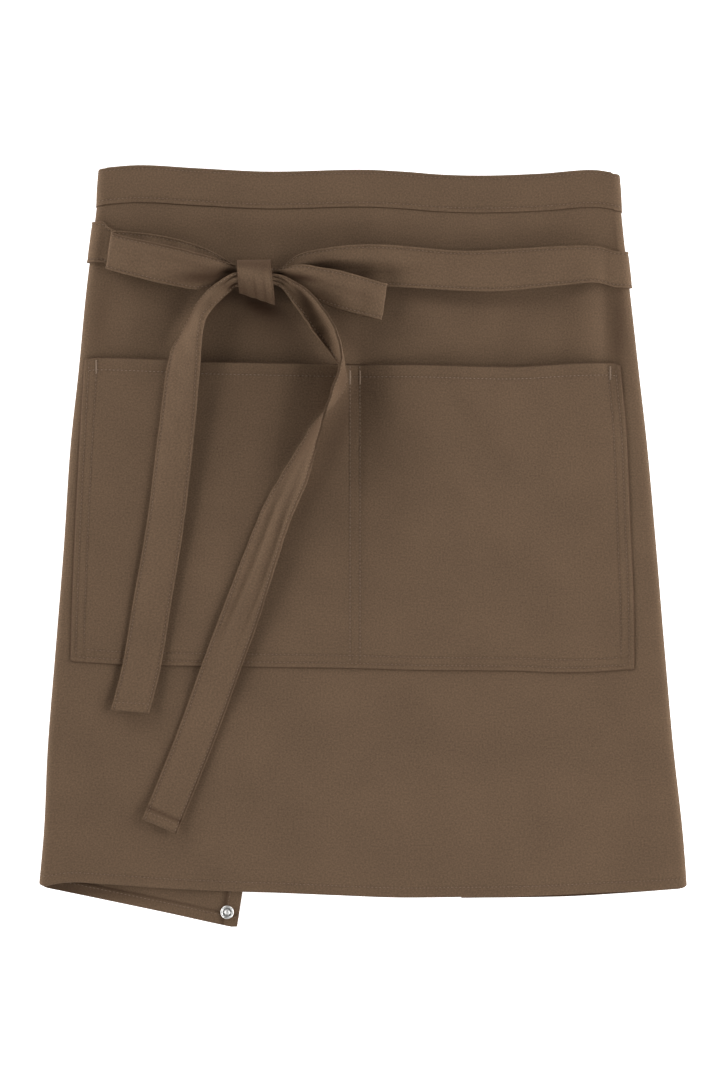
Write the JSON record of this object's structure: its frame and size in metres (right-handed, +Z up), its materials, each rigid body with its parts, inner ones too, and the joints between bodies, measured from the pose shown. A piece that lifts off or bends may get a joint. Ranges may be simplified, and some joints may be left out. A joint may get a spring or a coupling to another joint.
{
  "type": "waist apron",
  "caption": "Plain cloth waist apron lying front up, with a waistband, a wide parted patch pocket, flaps folded under and ties bound in a bow on the front.",
  "frame": {"origin": "middle of the apron's outline on the surface it lies on", "axes": "+Y from the hem to the waist, +X to the right of the front as seen from above, +Z up out of the front"},
  "size_m": [0.4852, 0.5692, 0.0332],
  "materials": {
    "apron_cloth": "matte brown twill",
    "tie_cloth": "matte brown twill, folded double",
    "stud_metal": "bright"
  },
  "bodies": {
    "root": {"apron_body": "apron_cloth", "waistband": "apron_cloth", "pocket": "apron_cloth", "tie_left_band": "tie_cloth", "tie_right_band": "tie_cloth", "bow_knot": "tie_cloth", "bow_loop_left": "tie_cloth", "bow_loop_right": "tie_cloth", "tie_left_tail": "tie_cloth", "tie_right_tail": "tie_cloth", "snap_button": "stud_metal"}
  },
  "joints": []
}
